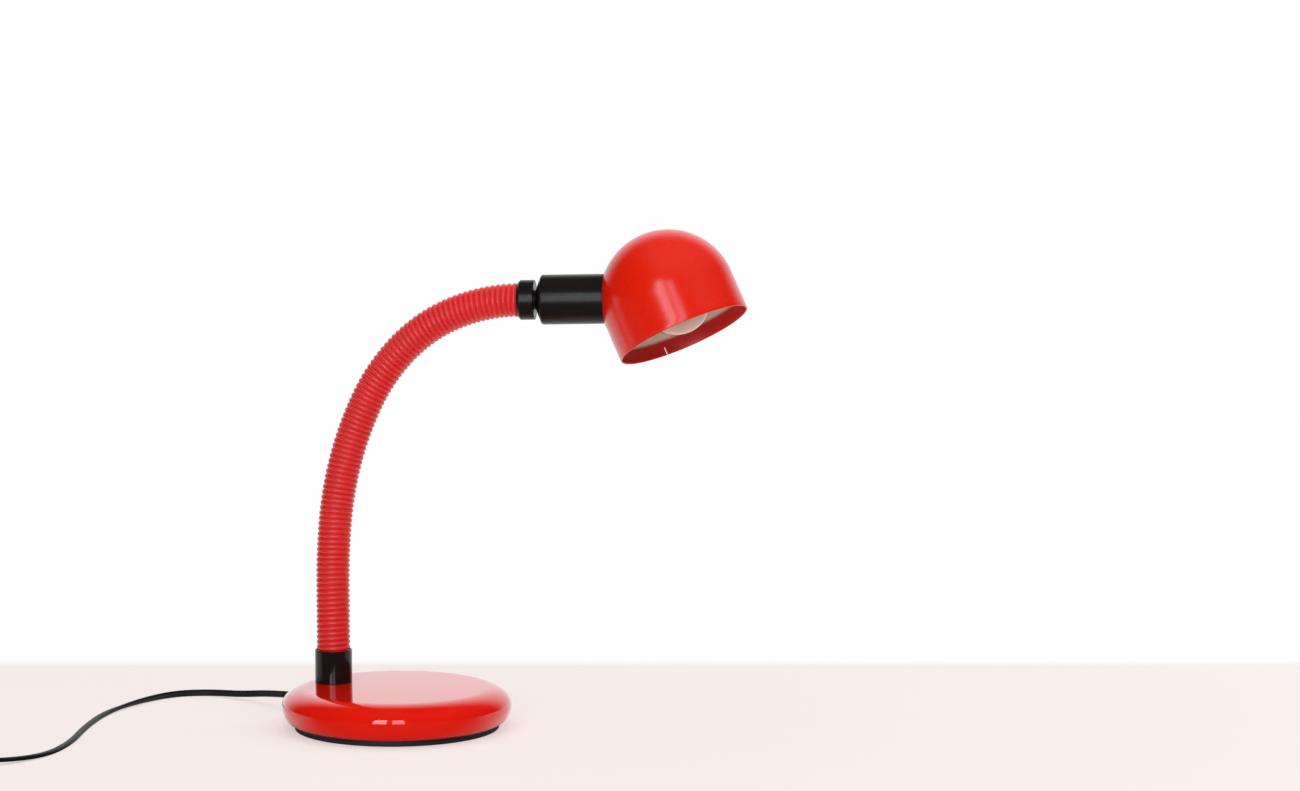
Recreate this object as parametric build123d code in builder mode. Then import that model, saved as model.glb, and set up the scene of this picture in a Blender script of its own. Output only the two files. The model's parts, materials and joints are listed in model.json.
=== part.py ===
"""Gooseneck desk lamp: weighted round base, corrugated flexible neck, swivelling dome shade.

Millimetres, +Z up, origin on the table under the middle of the base. The neck bends over
towards +X. Each piece of the lamp is its own solid, written to its own STEP file.
"""
from build123d import *
from math import asin, cos, degrees, hypot, pi, radians, sin, tan
import os

# ---- base -------------------------------------------------------------------------------
base_radius = 90.0            # widest point of the rolled edge
base_height = 31.9
base_flat_radius = 70.0       # where the flat top turns into the roll
base_widest_height = 18.7
base_foot_inset = 10.3        # from the widest point in to where the roll meets the underside
cover_wall = 1.5
lip_width = 3.8               # flat lip turned in under the cover
foot_ring_height = 2.8
foot_ring_width = 7.0
foot_ring_overhang = 0.5      # how far the rubber ring stands out past the plate
plate_thickness = 1.6
weight_gap = 9.9              # air between the weight and the cover's lip
weight_height = 17.0
weight_chamfer = 1.5
bay_end_gap = 9.0             # air between the terminal block and the inner end of its bay
bay_width = 62.0
fit_gap = 0.1                 # between pieces of one assembly that slip together
play = 0.3                    # between pieces that move against each other

# ---- fixing screws of the base ----------------------------------------------------------
base_screw_count = 3
base_screw_ring = 44.0
base_screw_radius = 2.0
base_screw_head_radius = 3.8
base_screw_head_height = 2.2
screw_slot_length = 5.7
screw_slot_width = 1.0
boss_radius = 4.5
boss_gap = 1.0                # air between the weight and each boss
screw_tip_margin = 1.5

# ---- neck -------------------------------------------------------------------------------
neck_foot_x = -51.0           # from the middle of the base
neck_foot_y = 23.0
neck_yaw = 6.0                # the neck's plane turned towards -Y, degrees
neck_link_length = 50.5
neck_bends = (0.0, 5.0, 10.0, 10.5, 18.5, 23.5, 21.1)
sleeve_radius = 13.2          # at the crests of its ribs
sleeve_bore_radius = 10.8
rib_count = 87                # between the two ferrules
rib_depth = 1.7
rib_valley_width = 3.0
core_radius = 10.6
core_bore_radius = 7.7
lead_radius = 2.6
ball_margin = 1.0             # ball of each neck joint over the sleeve's radius

# ---- ferrules, studs and nuts -----------------------------------------------------------
ferrule_wall = 1.3
lower_ferrule_height = 26.0
lower_socket_depth = 21.0
upper_ferrule_length = 13.3
upper_socket_depth = 9.0
upper_ferrule_radius = 15.5
upper_ferrule_chamfer = 2.2
upper_ferrule_end_chamfer = 0.3
stud_head_radius = 7.6
stud_radius = 5.0
stud_bore_radius = 2.8
stud_head_length = 15.0
upper_stud_head_length = 8.6
stud_tip_length = 1.0         # thread showing past the nut
nut_height = 4.0
nut_across_flats = 14.0
washer_radius = 9.0
washer_thickness = 1.0

# ---- lampholder -------------------------------------------------------------------------
spacer_radius = 7.4
spacer_length = 0.6
holder_radius = 19.4
holder_wall = 1.6
holder_back_wall = 2.0
running_gap = 0.08            # radial room of a shaft that turns in a hole
holder_back_length = 4.8
holder_back_radius = 7.4
holder_back_rounding = 2.0    # where the coned back meets the body
holder_body_length = 49.0
socket_radius = 17.6
socket_neck_radius = 15.9
socket_back_thickness = 5.0
socket_shoulder_inset = 2.0   # socket's shoulder behind the holder's front edge
socket_reach = 12.0           # how far the socket stands into the shade
screw_shell_wall = 0.5
contact_radius = 4.0
contact_thickness = 1.2
shade_ring_radius = 21.0
shade_ring_thickness = 5.0

# ---- shade ------------------------------------------------------------------------------
shade_radius = 53.2
shade_wall = 1.2
shade_skirt = 32.0
shade_tilt = 23.3             # lean of the shade's axis away from square to the holder
shade_twist = 15.0            # turn of the shade about the holder, towards -Y
slot_width = 0.8
slot_length = 6.5
slot_angle = 112.0            # around the rim, from the rim point furthest from the holder

# ---- bulb -------------------------------------------------------------------------------
bulb_radius = 29.0
bulb_offset = 5.5             # bulb's middle past the middle of the shade's dome
bulb_length = 99.1
bulb_cap_radius = 13.1
bulb_cap_height = 24.0
bulb_neck_radius = 12.6
bulb_wall = 0.8
bulb_contact_radius = 4.6
bulb_insulator_height = 2.4
bulb_insulator_radius = 9.2
bulb_shoulder_angle = 42.0    # below the bulb's widest point, where its waist begins
bulb_glue_depth = 6.0         # of the glass inside its cap

# ---- mains cord -------------------------------------------------------------------------
cord_radius = 2.7
exit_angle = 140.0            # around the base, from +X
exit_height = 11.5
boot_root_radius = 4.0
boot_tip_radius = 3.3
boot_length = 27.0            # outside the base's widest point
boot_flange_radius = 5.0
boot_flange_thickness = 1.6
boot_flange_gap = 0.3         # flange outside the circle where the roll meets the underside
clamp_lip_gap = 3.9           # air between the clamp and the cover's lip
clamp_length = 6.0
clamp_width = 15.0
clamp_thickness = 2.0
clamp_screw_radius = 1.2
clamp_screw_head_radius = 2.2
block_length = 26.0
block_width = 16.0
block_height = 11.0
block_chamfer = 1.0
block_clamp_gap = 1.0         # air between the block and the clamp
block_screw_radius = 1.8
block_screw_spacing = 9.0
lead_bend_radius = 5.0
lead_straight = 0.5           # least straight end of the lead past its bend
lead_drop_height = 10.0       # height at which the lead turns into the terminal block
cord_run_fillet = 0.45        # share of the shorter run that each bend may use

coil_x = -351.0
coil_y = -240.0
coil_mid_radius = 31.0
coil_columns = 3
coil_layers = 2
coil_rounding = 2.4
tie_thickness = 1.2
tie_width = 6.0
tie_angle = 20.0

switch_x = -338.0
switch_y = -174.0
switch_heading = 205.0
switch_length = 56.0
switch_width = 26.0
switch_height = 14.0
switch_split_height = 6.0
switch_wall = 2.0
switch_rounding = 4.0
rocker_length = 15.0
rocker_width = 9.0
rocker_depth = 5.0
rocker_gap = 0.5
rocker_tilt = 8.0             # each way from level
rocker_pin_radius = 1.0
rocker_pin_below = 3.0        # pin under the top of the cover
rocker_ear_thickness = 2.0
rocker_ear_length = 5.0

plug_x = -363.8
plug_y = -284.9
plug_heading = -55.0
plug_length = 34.0
plug_waist_place = 20.4       # from the back, where the body has widened
plug_waist_width = 30.8
plug_front_width = 35.0
plug_front_height = 13.6
plug_back_width = 13.0
plug_back_height = 9.0
plug_pin_radius = 2.0
plug_pin_length = 19.0
plug_pin_spacing = 18.6
plug_pin_root = 6.0

# ---- sizes that follow ------------------------------------------------------------------
quarter_turn = 90.0           # degrees
plate_top = foot_ring_height + plate_thickness
base_foot_radius = base_radius - base_foot_inset
lip_edge = base_foot_radius - lip_width
plate_radius = base_foot_radius - fit_gap
cover_inside_top = base_height - cover_wall
collar_top = base_height + lower_ferrule_height
weight_top = plate_top + weight_height
weight_radius = lip_edge - weight_gap
boot_flange_place = base_foot_radius + boot_flange_gap
clamp_place = lip_edge - clamp_lip_gap - clamp_length / 2
block_middle = clamp_place - clamp_length / 2 - block_clamp_gap - block_length / 2
bay_inner_edge = block_middle - block_length / 2 - bay_end_gap
ball_radius = sleeve_radius + ball_margin
link_count = len(neck_bends)
bay_angle = exit_angle + 8.0
lower_ferrule_radius = sleeve_radius + fit_gap + ferrule_wall
cord_height = cord_radius
os.makedirs("parts", exist_ok=True)


def save(part, name):
    part.label = name
    export_step(part, "parts/" + name + ".step")


# ---- the neck's line, in the upright plane that it bends in -----------------------------
# Local x runs level away from the foot, local y straight up.
neck_plane = Plane(
    origin=(neck_foot_x, neck_foot_y, 0),
    x_dir=(cos(radians(neck_yaw)), -sin(radians(neck_yaw)), 0),
    z_dir=(-sin(radians(neck_yaw)), -cos(radians(neck_yaw)), 0),
)
stations = [(0.0, collar_top, 0.0)]
for bend in neck_bends:
    level, height, lean = stations[-1]
    chord = neck_link_length
    if bend:
        chord = 2 * neck_link_length / radians(bend) * sin(radians(bend) / 2)
    middle = radians(lean + bend / 2)
    stations.append((level + chord * sin(middle), height + chord * cos(middle), lean + bend))


def neck_frame(index, along=0.0):
    """Plane square to the neck at one end of a link, moved along by a length."""
    level, height, lean = stations[index]
    tangent = (sin(radians(lean)), cos(radians(lean)))
    point = neck_plane.from_local_coords((level + along * tangent[0], height + along * tangent[1], 0))
    direction = neck_plane.x_dir * tangent[0] + Vector(0, 0, tangent[1])
    return Plane(origin=point, x_dir=neck_plane.z_dir, z_dir=direction)


def section_plane(frame):
    """Plane through a frame's axis: local x runs outwards, local y along the axis."""
    return Plane(origin=frame.origin, x_dir=frame.x_dir, z_dir=frame.x_dir.cross(frame.z_dir))


def turned_ring(frame, start, end, outer, bore=0.0):
    """Plain ring or rod about a frame's axis, between two distances along it."""
    with BuildPart() as ring:
        with BuildSketch(frame.offset(start)):
            Circle(outer)
            if bore:
                Circle(bore, mode=Mode.SUBTRACT)
        extrude(amount=end - start)
    return ring.part


def hex_nut(frame, start, bore):
    """Hexagon nut with a plain bore, standing on a frame."""
    with BuildPart() as nut:
        with BuildSketch(frame.offset(start)):
            RegularPolygon(nut_across_flats / 2, 6, major_radius=False)
            Circle(bore, mode=Mode.SUBTRACT)
        extrude(amount=nut_height)
    return nut.part


# ---- neck links: corrugated sleeve, steel core and lead of each -------------------------
# The top of a link is a ball about the joint, and the next link has the cup that fits it.
def neck_tube(index, outer, bore, end_length):
    first = index == 0
    last = index == link_count - 1
    level, height, lean = stations[index]
    bend = neck_bends[index]
    with BuildPart() as tube:
        with BuildLine(neck_plane) as spine:
            if bend:
                JernArc(
                    start=(level, height),
                    tangent=(sin(radians(lean)), cos(radians(lean))),
                    radius=neck_link_length / radians(bend),
                    arc_size=-bend,
                )
            else:
                Line((level, height), (level, height + neck_link_length))
        with BuildSketch(neck_frame(index)):
            Circle(outer)
            if bore:
                Circle(bore, mode=Mode.SUBTRACT)
        sweep(path=spine.line)
        if first:
            with BuildSketch(neck_frame(index, -lower_socket_depth + fit_gap)):
                Circle(outer)
                if bore:
                    Circle(bore, mode=Mode.SUBTRACT)
            extrude(amount=lower_socket_depth - fit_gap)
        else:
            with Locations(neck_frame(index).location):
                Sphere(ball_radius + play, mode=Mode.SUBTRACT)
        if last:
            with BuildSketch(neck_frame(index + 1)):
                Circle(outer)
                if bore:
                    Circle(bore, mode=Mode.SUBTRACT)
            extrude(amount=end_length)
        else:
            joint = neck_frame(index + 1)
            with BuildSketch(section_plane(joint)):
                Circle(ball_radius)
                with Locations(((outer + bore) / 2, ball_radius / 2)):
                    Rectangle(outer - bore, ball_radius, mode=Mode.INTERSECT)
            revolve(axis=Axis(joint.origin, joint.z_dir))
    return tube.part


# The sleeve's ribs are left by rounded valleys, spaced evenly from one ferrule to the other.
rib_pitch = neck_link_length * link_count / rib_count
valley_round = (rib_depth**2 + (rib_valley_width / 2) ** 2) / (2 * rib_depth)
valley_middle = sleeve_radius - rib_depth + valley_round
cup_depth = ((ball_radius + play) ** 2 - (sleeve_radius - rib_depth) ** 2) ** 0.5 + rib_valley_width / 2
ball_reach = (ball_radius**2 - sleeve_radius**2) ** 0.5 - rib_valley_width / 2


def valley_frame(along):
    """Plane square to the neck at a length along it from the lower ferrule's mouth."""
    index = min(int(along / neck_link_length), link_count - 1)
    past = along - index * neck_link_length
    bend = neck_bends[index] * past / neck_link_length
    level, height, lean = stations[index]
    chord = past
    if bend:
        chord = 2 * past / radians(bend) * sin(radians(bend) / 2)
    middle = radians(lean + bend / 2)
    tangent = (sin(radians(lean + bend)), cos(radians(lean + bend)))
    point = neck_plane.from_local_coords((level + chord * sin(middle), height + chord * cos(middle), 0))
    direction = neck_plane.x_dir * tangent[0] + Vector(0, 0, tangent[1])
    return Plane(origin=point, x_dir=neck_plane.z_dir, z_dir=direction)


def ribbed(tube, index):
    """A link's sleeve with its valleys cut, clear of the cup at its start and past its ball."""
    first_end = index * neck_link_length + (cup_depth if index else 0)
    last_end = (index + 1) * neck_link_length
    numbers = [n for n in range(1, rib_count) if first_end < n * rib_pitch < last_end]
    with BuildPart() as sleeve:
        add(tube)
        for number in numbers:
            with Locations(valley_frame(number * rib_pitch).location):
                Torus(valley_middle, valley_round, mode=Mode.SUBTRACT)
        past_joint = (numbers[-1] + 1) * rib_pitch - last_end
        if index < link_count - 1 and past_joint < ball_reach:
            with Locations(neck_frame(index + 1, past_joint).location):
                Torus(valley_middle, valley_round, mode=Mode.SUBTRACT)
    return sleeve.part


sleeve_end = upper_socket_depth - fit_gap
stud_end = (upper_ferrule_length + spacer_length + fit_gap + holder_back_wall + fit_gap
            + washer_thickness + nut_height + stud_tip_length)
for index in range(link_count):
    number = str(index + 1)
    sleeve_tube = neck_tube(index, sleeve_radius, sleeve_bore_radius, sleeve_end)
    save(ribbed(sleeve_tube, index), "neck_sleeve_" + number)
    save(neck_tube(index, core_radius, core_bore_radius, sleeve_end), "neck_core_" + number)
    save(neck_tube(index, lead_radius, 0.0, stud_end), "neck_lead_" + number)

# ---- base: pressed cover, cast weight, bottom plate and rubber foot ---------------------
exit_direction = Vector(cos(radians(exit_angle)), sin(radians(exit_angle)), 0)
exit_frame = Plane(origin=(0, 0, exit_height), x_dir=(0, 0, 1), z_dir=exit_direction)
roll_width = base_radius - base_flat_radius
roll_height = base_height - base_widest_height
under_width = base_radius - base_foot_radius
under_height = base_widest_height - plate_top
roll_centre = (base_flat_radius, base_widest_height)
under_centre = (base_foot_radius, base_widest_height)

with BuildPart() as base_cover:
    with BuildSketch(Plane.XZ):
        with BuildLine():
            Line((0, base_height), (base_flat_radius, base_height))
            EllipticalCenterArc(roll_centre, roll_width, roll_height, start_angle=0, arc_size=quarter_turn)
            EllipticalCenterArc(
                under_centre, under_width, under_height, start_angle=-quarter_turn, arc_size=quarter_turn,
            )
            Polyline(
                (base_foot_radius, plate_top),
                (lip_edge, plate_top),
                (lip_edge, plate_top + cover_wall),
                (base_foot_radius, plate_top + cover_wall),
            )
            EllipticalCenterArc(
                under_centre, under_width - cover_wall, under_height - cover_wall,
                start_angle=-quarter_turn, arc_size=quarter_turn,
            )
            EllipticalCenterArc(
                roll_centre, roll_width - cover_wall, roll_height - cover_wall,
                start_angle=0, arc_size=quarter_turn,
            )
            Polyline(
                (base_flat_radius, cover_inside_top), (0, cover_inside_top), (0, base_height),
            )
        make_face()
    revolve(axis=Axis.Z)
    with Locations((neck_foot_x, neck_foot_y, cover_inside_top)):
        Cylinder(
            stud_radius + fit_gap, 4 * cover_wall,
            align=(Align.CENTER, Align.CENTER, Align.CENTER), mode=Mode.SUBTRACT,
        )
    with BuildSketch(exit_frame.offset(base_foot_radius)):
        Circle(boot_root_radius + fit_gap)
    extrude(amount=2 * under_width, mode=Mode.SUBTRACT)
    # Three bosses are welded under the cover for the bottom screws.
    with BuildSketch(Plane.XY.offset(weight_top + boss_gap)):
        with PolarLocations(base_screw_ring, base_screw_count, start_angle=bay_angle + 180):
            Circle(boss_radius)
            Circle(base_screw_radius + fit_gap, mode=Mode.SUBTRACT)
    extrude(amount=cover_inside_top - weight_top - boss_gap)
save(base_cover.part, "base_cover")

with BuildPart() as base_weight:
    with BuildSketch(Plane.XY.offset(plate_top)):
        Circle(weight_radius)
        with PolarLocations(base_screw_ring, base_screw_count, start_angle=bay_angle + 180):
            Circle(base_screw_radius + play, mode=Mode.SUBTRACT)
        with PolarLocations(bay_inner_edge, 1, start_angle=bay_angle):
            Rectangle(
                2 * weight_radius, bay_width,
                align=(Align.MIN, Align.CENTER), mode=Mode.SUBTRACT,
            )
    extrude(amount=weight_height)
    chamfer(base_weight.faces().sort_by(Axis.Z)[-1].edges().filter_by(GeomType.CIRCLE).sort_by(
        SortBy.RADIUS)[-1:], weight_chamfer)
save(base_weight.part, "base_weight")

with BuildPart() as bottom_plate:
    with BuildSketch(Plane.XY.offset(foot_ring_height)):
        Circle(plate_radius)
        with PolarLocations(base_screw_ring, base_screw_count, start_angle=bay_angle + 180):
            Circle(base_screw_radius + play, mode=Mode.SUBTRACT)
    extrude(amount=plate_thickness)
save(bottom_plate.part, "bottom_plate")

with BuildPart() as foot_ring:
    with BuildSketch():
        Circle(plate_radius + foot_ring_overhang)
        Circle(plate_radius + foot_ring_overhang - foot_ring_width, mode=Mode.SUBTRACT)
    extrude(amount=foot_ring_height)
    fillet(foot_ring.edges().group_by(Axis.Z)[0], foot_ring_height / 4)
save(foot_ring.part, "foot_ring")

with BuildPart() as bottom_screws:
    with BuildSketch(Plane.XY.offset(foot_ring_height)):
        with PolarLocations(base_screw_ring, base_screw_count, start_angle=bay_angle + 180):
            Circle(base_screw_head_radius)
    extrude(amount=-base_screw_head_height)
    fillet(bottom_screws.edges().group_by(Axis.Z)[0], base_screw_head_height / 3)
    with BuildSketch(Plane.XY.offset(foot_ring_height)):
        with PolarLocations(base_screw_ring, base_screw_count, start_angle=bay_angle + 180):
            Circle(base_screw_radius)
    extrude(amount=cover_inside_top - screw_tip_margin - foot_ring_height)
    with BuildSketch(Plane.XY.offset(foot_ring_height - base_screw_head_height)):
        with PolarLocations(base_screw_ring, base_screw_count, start_angle=bay_angle + 180):
            Rectangle(screw_slot_length, screw_slot_width)
            Rectangle(screw_slot_width, screw_slot_length)
    extrude(amount=base_screw_head_height / 2, mode=Mode.SUBTRACT)
save(bottom_screws.part, "bottom_screws")

# ---- neck's foot: ferrule, hollow stud, washer and nut ----------------------------------
foot_frame = Plane(origin=(neck_foot_x, neck_foot_y, 0))
ferrule_web_top = collar_top - lower_socket_depth
nut_bottom = cover_inside_top - washer_thickness - nut_height

with BuildPart() as lower_ferrule:
    with BuildSketch(foot_frame.offset(base_height)):
        Circle(lower_ferrule_radius)
    extrude(amount=lower_ferrule_height)
    with BuildSketch(foot_frame.offset(ferrule_web_top)):
        Circle(sleeve_radius + fit_gap)
    extrude(amount=lower_socket_depth, mode=Mode.SUBTRACT)
    with BuildSketch(foot_frame.offset(base_height)):
        Circle(stud_radius + fit_gap)
    extrude(amount=lower_ferrule_height, mode=Mode.SUBTRACT)
    fillet(lower_ferrule.edges().group_by(Axis.Z)[-1], ferrule_wall / 4)
save(lower_ferrule.part, "lower_ferrule")


def hollow_stud(frame, shoulder, head_length, tip):
    """Threaded stud with a plain head that fits inside the neck's core."""
    with BuildPart() as stud:
        with BuildSketch(frame.offset(shoulder)):
            Circle(stud_head_radius)
        extrude(amount=head_length)
        with BuildSketch(frame.offset(shoulder)):
            Circle(stud_radius)
        extrude(amount=tip)
        with BuildSketch(frame.offset(shoulder + min(head_length, tip))):
            Circle(stud_bore_radius)
        extrude(amount=abs(head_length) + abs(tip), mode=Mode.SUBTRACT)
    return stud.part


lower_stud_tip = nut_bottom - stud_tip_length - ferrule_web_top
save(hollow_stud(foot_frame, ferrule_web_top, stud_head_length, lower_stud_tip), "lower_stud")
save(
    turned_ring(foot_frame, nut_bottom + nut_height, cover_inside_top, washer_radius, stud_radius + fit_gap),
    "lower_washer",
)
save(hex_nut(foot_frame, nut_bottom, stud_radius + fit_gap), "lower_nut")

# ---- wiring inside the base -------------------------------------------------------------
boot_tip = base_radius + boot_length
block_outer = block_middle + block_length / 2
block_frame = Plane(
    origin=exit_direction * block_middle + Vector(0, 0, plate_top), x_dir=exit_direction, z_dir=(0, 0, 1)
)

boot_section = Plane(
    origin=exit_frame.origin, x_dir=(0, 0, 1), z_dir=exit_direction.cross(Vector(0, 0, 1))
)
with BuildPart() as cord_boot:
    with BuildSketch(boot_section):
        with BuildLine():
            Polyline(
                (cord_radius + fit_gap, -boot_flange_place),
                (boot_flange_radius, -boot_flange_place),
                (boot_flange_radius, -boot_flange_place - boot_flange_thickness),
                (boot_root_radius, -boot_flange_place - boot_flange_thickness),
                (boot_root_radius, -base_radius),
                (boot_tip_radius, -boot_tip),
                (cord_radius + fit_gap, -boot_tip),
                close=True,
            )
        make_face()
    revolve(axis=Axis(exit_frame.origin, exit_direction))
save(cord_boot.part, "cord_boot")
save(turned_ring(exit_frame, block_outer, boot_tip, cord_radius), "inner_mains_lead")

with BuildPart() as terminal_block:
    with BuildSketch(block_frame):
        Rectangle(block_length, block_width)
    extrude(amount=block_height)
    with BuildSketch(block_frame.offset(block_height)):
        with GridLocations(block_length / 2, block_screw_spacing, 2, 2):
            Circle(block_screw_radius + fit_gap)
    extrude(amount=-block_height / 2, mode=Mode.SUBTRACT)
    chamfer(terminal_block.faces().sort_by(Axis.Z)[-1].outer_wire().edges(), block_chamfer)
save(terminal_block.part, "terminal_block")

clamp_frame = Plane(
    origin=exit_direction * clamp_place + Vector(0, 0, plate_top), x_dir=exit_direction, z_dir=(0, 0, 1)
)
clamp_height = exit_height + cord_radius + clamp_thickness - plate_top
clamp_screw_spacing = clamp_width - 4 * clamp_screw_radius

with BuildPart() as cord_clamp:
    with BuildSketch(clamp_frame):
        Rectangle(clamp_length, clamp_width)
        with GridLocations(0, clamp_screw_spacing, 1, 2):
            Circle(clamp_screw_radius + fit_gap, mode=Mode.SUBTRACT)
    extrude(amount=clamp_height)
    with BuildSketch(exit_frame.offset(clamp_place - clamp_length)):
        Circle(cord_radius + fit_gap)
    extrude(amount=2 * clamp_length, mode=Mode.SUBTRACT)
save(cord_clamp.part, "cord_clamp")

with BuildPart() as wiring_screws:
    with BuildSketch(block_frame.offset(block_height / 2)):
        with GridLocations(block_length / 2, block_screw_spacing, 2, 2):
            Circle(block_screw_radius)
    extrude(amount=block_height / 3)
    with BuildSketch(clamp_frame.offset(clamp_height)):
        with GridLocations(0, clamp_screw_spacing, 1, 2):
            Circle(clamp_screw_head_radius)
    extrude(amount=clamp_thickness / 2)
    with BuildSketch(clamp_frame):
        with GridLocations(0, clamp_screw_spacing, 1, 2):
            Circle(clamp_screw_radius)
    extrude(amount=clamp_height)
save(wiring_screws.part, "wiring_screws")

foot_vector = Vector(neck_foot_x, neck_foot_y, 0)
beside_foot = exit_direction * foot_vector.dot(exit_direction) - foot_vector
lead_run = beside_foot.length - block_width / 2
block_side = foot_vector + beside_foot.normalized() * lead_run
with BuildPart() as base_lead:
    with BuildLine() as lead_line:
        FilletPolyline(
            (neck_foot_x, neck_foot_y, ferrule_web_top + fit_gap),
            (neck_foot_x, neck_foot_y, lead_drop_height),
            (block_side.X, block_side.Y, lead_drop_height),
            radius=min(lead_bend_radius, lead_run - lead_straight),
        )
    with BuildSketch(Plane(origin=lead_line.line @ 0, z_dir=lead_line.line % 0)):
        Circle(lead_radius)
    sweep(path=lead_line.line)
save(base_lead.part, "base_lead")

# ---- head: everything below is laid out along the axis of the neck's last link ----------
head_frame = neck_frame(link_count)
head_section = section_plane(head_frame)
head_axis = Axis(head_frame.origin, head_frame.z_dir)
holder_start = upper_ferrule_length + spacer_length + fit_gap
holder_front = holder_start + holder_back_length + holder_body_length
dome_middle = holder_front + (shade_radius**2 - holder_radius**2) ** 0.5
bulb_middle = dome_middle + bulb_offset
bulb_bottom = bulb_middle + bulb_radius - bulb_length
socket_floor = bulb_bottom - contact_thickness
screw_shell_radius = bulb_cap_radius + 2 * fit_gap + screw_shell_wall
socket_end = holder_front + socket_reach
dome_frame = head_frame.offset(dome_middle)

with BuildPart() as upper_ferrule:
    with BuildSketch(head_frame):
        Circle(upper_ferrule_radius)
    extrude(amount=upper_ferrule_length)
    chamfer(upper_ferrule.edges().group_by(head_axis)[0], upper_ferrule_chamfer)
    chamfer(upper_ferrule.edges().group_by(head_axis)[-1], upper_ferrule_end_chamfer)
    with BuildSketch(head_frame):
        Circle(sleeve_radius + fit_gap)
    extrude(amount=upper_socket_depth, mode=Mode.SUBTRACT)
    with BuildSketch(head_frame):
        Circle(stud_radius + fit_gap)
    extrude(amount=upper_ferrule_length, mode=Mode.SUBTRACT)
save(upper_ferrule.part, "upper_ferrule")

washer_start = holder_start + holder_back_wall + fit_gap
save(hollow_stud(head_frame, upper_socket_depth, -upper_stud_head_length, stud_end - upper_socket_depth),
     "upper_stud")
save(turned_ring(head_frame, upper_ferrule_length, upper_ferrule_length + spacer_length,
                 spacer_radius, stud_radius + fit_gap), "swivel_spacer")
save(turned_ring(head_frame, washer_start, washer_start + washer_thickness,
                 washer_radius, stud_radius + fit_gap), "friction_washer")
save(hex_nut(head_frame, washer_start + washer_thickness, stud_radius + fit_gap), "swivel_nut")

with BuildPart() as lampholder:
    with BuildSketch(head_section):
        with BuildLine():
            Polyline(
                (stud_radius + running_gap, holder_start),
                (holder_back_radius, holder_start),
                (holder_radius, holder_start + holder_back_length),
                (holder_radius, holder_front + holder_wall),
                (holder_radius - holder_wall, holder_front + holder_wall),
                (holder_radius - holder_wall, holder_start + holder_back_length + holder_wall / 2),
                (washer_radius + play, holder_start + holder_back_wall),
                (stud_radius + running_gap, holder_start + holder_back_wall),
                close=True,
            )
        make_face()
    revolve(axis=head_axis)
    cone_edge_point = head_section.from_local_coords((holder_radius, holder_start + holder_back_length))
    fillet(lampholder.edges().sort_by_distance(cone_edge_point)[0], holder_back_rounding)
    with Locations(dome_frame.location):
        Sphere(shade_radius + fit_gap, mode=Mode.SUBTRACT)
save(lampholder.part, "lampholder")

with BuildPart() as lamp_socket:
    with BuildSketch(head_section):
        with BuildLine():
            Polyline(
                (0, socket_floor - socket_back_thickness),
                (socket_radius, socket_floor - socket_back_thickness),
                (socket_radius, holder_front - socket_shoulder_inset),
                (socket_neck_radius, holder_front - socket_shoulder_inset),
                (socket_neck_radius, socket_end),
                (screw_shell_radius + fit_gap, socket_end),
                (screw_shell_radius + fit_gap, socket_floor),
                (0, socket_floor),
                close=True,
            )
        make_face()
    revolve(axis=head_axis)
save(lamp_socket.part, "lamp_socket")
save(
    turned_ring(head_frame, socket_floor, socket_floor + contact_thickness, contact_radius),
    "socket_contact",
)
save(turned_ring(head_frame, bulb_bottom, socket_end - contact_thickness,
                 screw_shell_radius, screw_shell_radius - screw_shell_wall), "socket_screw_shell")

ring_seat = dome_middle - ((shade_radius - shade_wall) ** 2 - shade_ring_radius**2) ** 0.5 + fit_gap
with BuildPart() as shade_ring:
    with BuildSketch(head_frame.offset(ring_seat)):
        Circle(shade_ring_radius)
        Circle(socket_neck_radius + fit_gap, mode=Mode.SUBTRACT)
    extrude(amount=shade_ring_thickness)
    fillet(shade_ring.edges().group_by(head_axis)[-1].sort_by(SortBy.RADIUS)[-1], shade_ring_thickness / 4)
save(shade_ring.part, "shade_ring")

# ---- shade: dome and straight skirt about an axis that leans away from the holder -------
level_side = neck_plane.z_dir
under_side = head_frame.z_dir.cross(level_side)
twist = radians(shade_twist)
tilt = radians(shade_tilt)
opening_side = under_side * cos(twist) + level_side * sin(twist)
opening_direction = opening_side * cos(tilt) + head_frame.z_dir * sin(tilt)
rim_ahead = head_frame.z_dir * cos(tilt) - opening_side * sin(tilt)
shade_frame = Plane(origin=dome_frame.origin, x_dir=rim_ahead, z_dir=-opening_direction)
shade_section = section_plane(shade_frame)
shade_inside = shade_radius - shade_wall

with BuildPart() as shade:
    with BuildSketch(shade_section):
        with BuildLine():
            CenterArc((0, 0), shade_radius, 0, 90)
            Polyline(
                (shade_radius, 0), (shade_radius, -shade_skirt),
                (shade_inside, -shade_skirt), (shade_inside, 0),
            )
            CenterArc((0, 0), shade_inside, 0, 90)
            Line((0, shade_inside), (0, shade_radius))
        make_face()
    revolve(axis=Axis(shade_frame.origin, shade_frame.z_dir))
    fillet(shade.edges().group_by(Axis(shade_frame.origin, shade_frame.z_dir))[0], shade_wall / 4)
    with BuildSketch(head_frame.offset(socket_floor)):
        Circle(socket_neck_radius + fit_gap)
    extrude(amount=dome_middle - socket_floor, mode=Mode.SUBTRACT)
    with BuildSketch(shade_frame.offset(-shade_skirt)):
        with PolarLocations(shade_radius, 1, start_angle=slot_angle):
            Rectangle(4 * shade_wall, slot_width)
    extrude(amount=slot_length, mode=Mode.SUBTRACT)
save(shade.part, "shade")

# ---- bulb -------------------------------------------------------------------------------
bulb_cap_bottom = bulb_bottom + bulb_insulator_height
bulb_cap_mouth = bulb_cap_bottom + bulb_cap_height
glass_end = bulb_cap_mouth - bulb_glue_depth
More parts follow.
